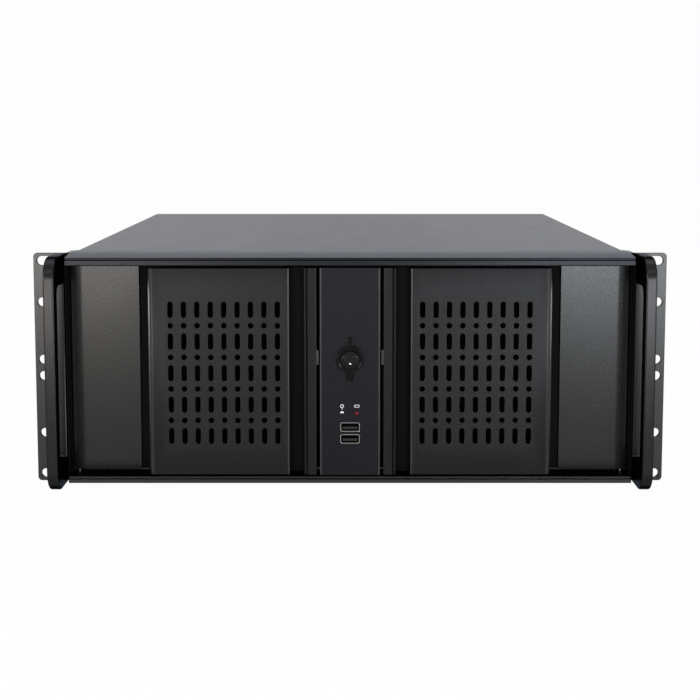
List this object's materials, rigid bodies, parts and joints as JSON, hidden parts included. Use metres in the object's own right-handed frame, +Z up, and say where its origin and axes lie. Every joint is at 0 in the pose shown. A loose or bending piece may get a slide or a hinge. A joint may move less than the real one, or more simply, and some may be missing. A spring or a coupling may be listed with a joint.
{
  "type": "rackmount server case",
  "caption": "Empty four-unit rackmount server case with two vented swing doors, a key lock, front ports and side handles.",
  "frame": {"origin": "middle of the width, in the plane of the rack ears' front faces, on the base", "axes": "+X to the right seen from the front, +Y back into the case, +Z up"},
  "size_m": [0.4826, 0.4895, 0.1776],
  "materials": {
    "case_steel": "fine satin grey powder coat",
    "front_aluminium": "dark anodised, fine brushed",
    "black_steel": "matt black powder coat",
    "zinc_steel": "plain zinc plated",
    "screw_steel": "dark zinc plated",
    "lock_metal": "dark plated die casting",
    "strike_metal": "plain steel",
    "black_plastic": "moulded, fine grain",
    "button_plastic": "moulded, smooth",
    "filter_foam": "open black foam",
    "port_shell": "nickel plated",
    "port_tongue": "moulded insulator",
    "circuit_board": "solder mask",
    "white_light": "clear-white lens",
    "red_light": "dark red lens",
    "standoff_brass": "turned brass"
  },
  "bodies": {
    "case": {"base_pan": "case_steel", "rear_panel": "case_steel", "top_cover": "case_steel", "front_panel": "black_steel", "cross_brace": "zinc_steel", "top_rail": "front_aluminium", "bottom_rail": "front_aluminium", "right_ear": "front_aluminium", "left_ear": "front_aluminium", "right_handle": "front_aluminium", "left_handle": "front_aluminium", "centre_panel": "front_aluminium", "centre_column": "black_steel", "lock_housing": "lock_metal", "lock_nut": "lock_metal", "usb_ports": "port_shell", "usb_tongues": "port_tongue", "front_board": "circuit_board", "power_light": "white_light", "drive_light": "red_light", "button_housing": "black_plastic", "right_drive_cage": "zinc_steel", "left_drive_cage": "zinc_steel", "slot_covers": "zinc_steel", "left_fan_frame": "black_plastic", "right_fan_frame": "black_plastic", "standoffs": "standoff_brass", "right_bay_cover_1": "black_steel", "right_bay_cover_2": "black_steel", "right_bay_cover_3": "black_steel", "left_bay_cover_1": "black_steel", "left_bay_cover_2": "black_steel", "left_bay_cover_3": "black_steel"},
    "right_door": {"right_door_vent_panel": "front_aluminium", "right_door_grip": "front_aluminium", "right_door_side_plate": "front_aluminium", "right_door_strike": "strike_metal", "right_door_carrier": "black_steel", "right_door_filter": "filter_foam", "right_door_pins": "screw_steel"},
    "left_door": {"left_door_vent_panel": "front_aluminium", "left_door_grip": "front_aluminium", "left_door_side_plate": "front_aluminium", "left_door_strike": "strike_metal", "left_door_carrier": "black_steel", "left_door_filter": "filter_foam", "left_door_pins": "screw_steel"},
    "lock": {"lock_knob": "black_plastic", "lock_cylinder": "lock_metal", "lock_cam": "zinc_steel"},
    "power_button": {"power_button": "button_plastic"},
    "reset_button": {"reset_button": "button_plastic"},
    "left_fan_blades": {"left_fan_rotor": "black_plastic"},
    "right_fan_blades": {"right_fan_rotor": "black_plastic"}
  },
  "joints": [
    {"name": "right_door_hinge", "type": "hinge", "parent": "case", "child": "right_door", "pos_m": [0.209, 0.00025, 0.0889], "axis": [0, 0, 1], "range_deg": [0, 95]},
    {"name": "left_door_hinge", "type": "hinge", "parent": "case", "child": "left_door", "pos_m": [-0.209, 0.00025, 0.0889], "axis": [0, 0, -1], "range_deg": [0, 95]},
    {"name": "lock_turn", "type": "hinge", "parent": "case", "child": "lock", "pos_m": [0, -0.019, 0.0988], "axis": [0, 1, 0], "range_deg": [0, 90]},
    {"name": "power_button_press", "type": "slide", "parent": "case", "child": "power_button", "axis": [0, 1, 0], "range_m": [0, 0.001], "stiffness_N_per_m": 600, "springref_m": -0.0005},
    {"name": "reset_button_press", "type": "slide", "parent": "case", "child": "reset_button", "axis": [0, 1, 0], "range_m": [0, 0.001], "stiffness_N_per_m": 600, "springref_m": -0.0005},
    {"name": "left_fan_spin", "type": "hinge", "parent": "case", "child": "left_fan_blades", "pos_m": [-0.008, 0.436, 0.116], "axis": [0, 1, 0], "continuous": true},
    {"name": "right_fan_spin", "type": "hinge", "parent": "case", "child": "right_fan_blades", "pos_m": [0.075, 0.436, 0.116], "axis": [0, 1, 0], "continuous": true}
  ]
}
